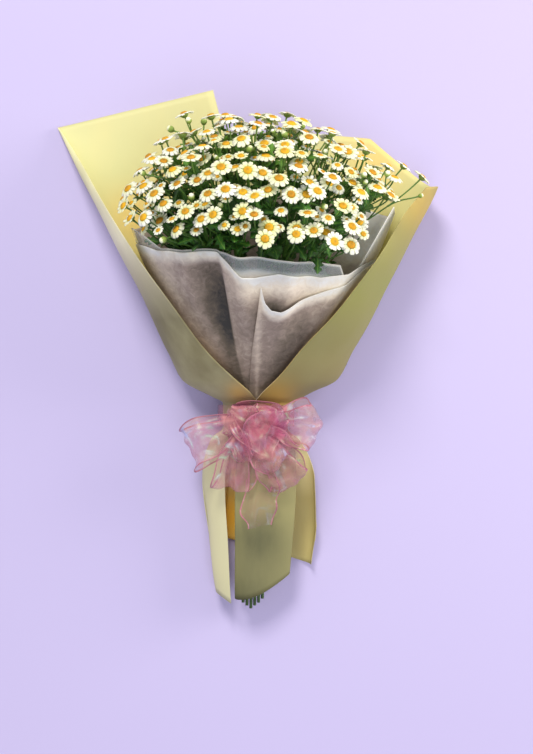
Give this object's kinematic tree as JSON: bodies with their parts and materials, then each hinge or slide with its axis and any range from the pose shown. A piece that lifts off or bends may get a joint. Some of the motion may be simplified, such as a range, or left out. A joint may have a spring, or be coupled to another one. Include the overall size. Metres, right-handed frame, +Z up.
{
  "type": "wrapped bunch of chamomile",
  "caption": "Small daisy-like flowers on branching green stems, tied and wrapped in tissue and two-tone paper with an organza bow, lying on its back.",
  "frame": {"origin": "middle of the footprint, on the surface that the bunch lies on", "axes": "+Y from the cut stems to the flowers, +Z up from the surface, +X to the right seen from above"},
  "size_m": [0.374, 0.515, 0.1999],
  "materials": {
    "paper": "matte, pale khaki outside and warm yellow inside",
    "tissue": "matte, fibrous non-woven sheet",
    "ribbon": "sheer, iridescent organza",
    "flowers": "fresh stems and leaves, white petals, yellow discs",
    "stem_tape": "matte green tape"
  },
  "bodies": {
    "root": {"paper_back": "paper", "paper_left": "paper", "paper_right": "paper", "ribbon_band": "ribbon", "ribbon_bow": "ribbon", "spray_01": "flowers", "spray_02": "flowers", "spray_03": "flowers", "spray_04": "flowers", "spray_05": "flowers", "spray_06": "flowers", "spray_07": "flowers", "spray_08": "flowers", "spray_09": "flowers", "spray_10": "flowers", "spray_11": "flowers", "spray_12": "flowers", "spray_13": "flowers", "spray_14": "flowers", "spray_15": "flowers", "spray_16": "flowers", "spray_17": "flowers", "spray_18": "flowers", "spray_19": "flowers", "spray_20": "flowers", "spray_21": "flowers", "spray_22": "flowers", "spray_23": "flowers", "spray_24": "flowers", "stem_tie": "stem_tape", "tissue_inner": "tissue", "tissue_left": "tissue", "tissue_right": "tissue"}
  },
  "joints": []
}
